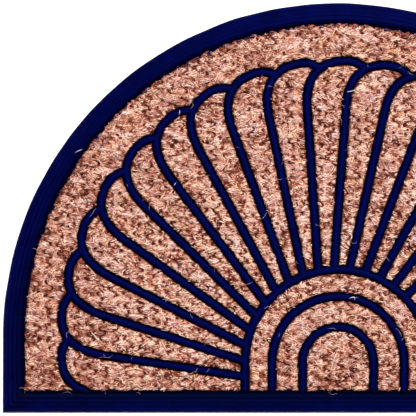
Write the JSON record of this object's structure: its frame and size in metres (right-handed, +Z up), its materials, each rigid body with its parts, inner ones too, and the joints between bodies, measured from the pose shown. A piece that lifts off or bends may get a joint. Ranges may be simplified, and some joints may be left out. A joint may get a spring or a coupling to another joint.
{
  "type": "half round doormat",
  "caption": "Half round doormat: a moulded rubber tray with a ridged border and raised fan ribs, filled with woven coir inlays that wipe shoes at a door.",
  "frame": {"origin": "middle of the bounding box, on the floor under the mat", "axes": "+X along the straight edge, +Y from the straight edge towards the top of the arc, +Z up"},
  "size_m": [0.762, 0.4654, 0.0096],
  "materials": {
    "rubber": "satin moulded, navy blue",
    "coir": "rough woven coir yarn, light brown"
  },
  "bodies": {
    "root": {"rubber_tray": "rubber", "coir_field": "coir", "coir_outer_band": "coir", "coir_inner_band": "coir", "coir_core": "coir", "coir_petal_01": "coir", "coir_petal_02": "coir", "coir_petal_03": "coir", "coir_petal_04": "coir", "coir_petal_05": "coir", "coir_petal_06": "coir", "coir_petal_07": "coir", "coir_petal_08": "coir", "coir_petal_09": "coir", "coir_petal_10": "coir", "coir_petal_11": "coir", "coir_petal_12": "coir", "coir_petal_13": "coir", "coir_petal_14": "coir", "coir_petal_15": "coir", "coir_petal_16": "coir", "coir_petal_17": "coir", "coir_petal_18": "coir", "coir_petal_19": "coir", "coir_petal_20": "coir", "coir_petal_21": "coir", "coir_petal_22": "coir"}
  },
  "joints": []
}
